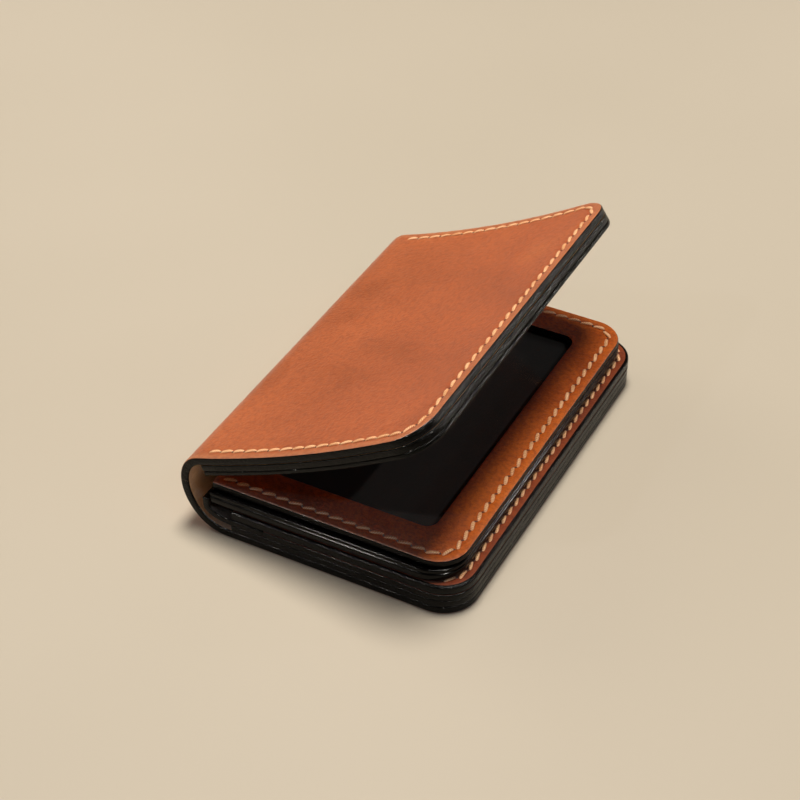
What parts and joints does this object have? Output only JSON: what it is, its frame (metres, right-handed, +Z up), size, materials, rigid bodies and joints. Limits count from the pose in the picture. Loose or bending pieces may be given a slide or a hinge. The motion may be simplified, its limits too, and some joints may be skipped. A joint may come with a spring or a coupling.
{
  "type": "bifold card wallet",
  "caption": "Vertical bifold leather wallet with card pockets in both leaves and a centre flip panel that holds an identity card behind a clear window.",
  "frame": {"origin": "centre of the wallet's bounding box in X and Y, on the underside of the lower cover", "axes": "+Y along the spine, +X from the spine towards the free edges, +Z up from the surface that the lower cover lies on"},
  "size_m": [0.0754, 0.107, 0.0526],
  "materials": {
    "cover_leather": "waxed pull-up leather with black burnished edges",
    "pocket_leather": "smooth dark brown leather with black burnished edges",
    "flap_leather": "smooth tan leather with black burnished edges",
    "hinge_leather": "thin dark leather",
    "thread": "waxed cream thread",
    "film": "clear flexible film"
  },
  "bodies": {
    "base": {"lower_cover": "cover_leather", "lower_back_pocket": "pocket_leather", "lower_middle_pocket": "pocket_leather", "lower_front_panel": "pocket_leather", "lower_stitching": "thread", "flap_hinge_strip": "hinge_leather"},
    "spine": {"spine_cover": "cover_leather"},
    "upper": {"upper_cover": "cover_leather", "upper_back_pocket": "pocket_leather", "upper_front_pocket": "pocket_leather", "upper_stitching": "thread"},
    "flap": {"flap_back_panel": "flap_leather", "flap_spacer": "pocket_leather", "flap_window_film": "film", "flap_window_frame": "flap_leather", "flap_stitching": "thread"}
  },
  "joints": [
    {"name": "lower_crease", "type": "hinge", "parent": "base", "child": "spine", "pos_m": [-0.03496, 0, 0.00275], "axis": [0, -1, 0], "range_deg": [0, 90]},
    {"name": "upper_crease", "type": "hinge", "parent": "spine", "child": "upper", "pos_m": [-0.03667, 0, 0.01959], "axis": [0, -1, 0], "range_deg": [-23, 62]},
    {"name": "flap_hinge", "type": "hinge", "parent": "base", "child": "flap", "pos_m": [-0.03037, 0, 0.0102], "axis": [0, -1, 0], "range_deg": [0, 81]}
  ],
  "couplings": [
    {"joint": "flap_hinge", "follows": "lower_crease", "ratio": 0.9}
  ]
}
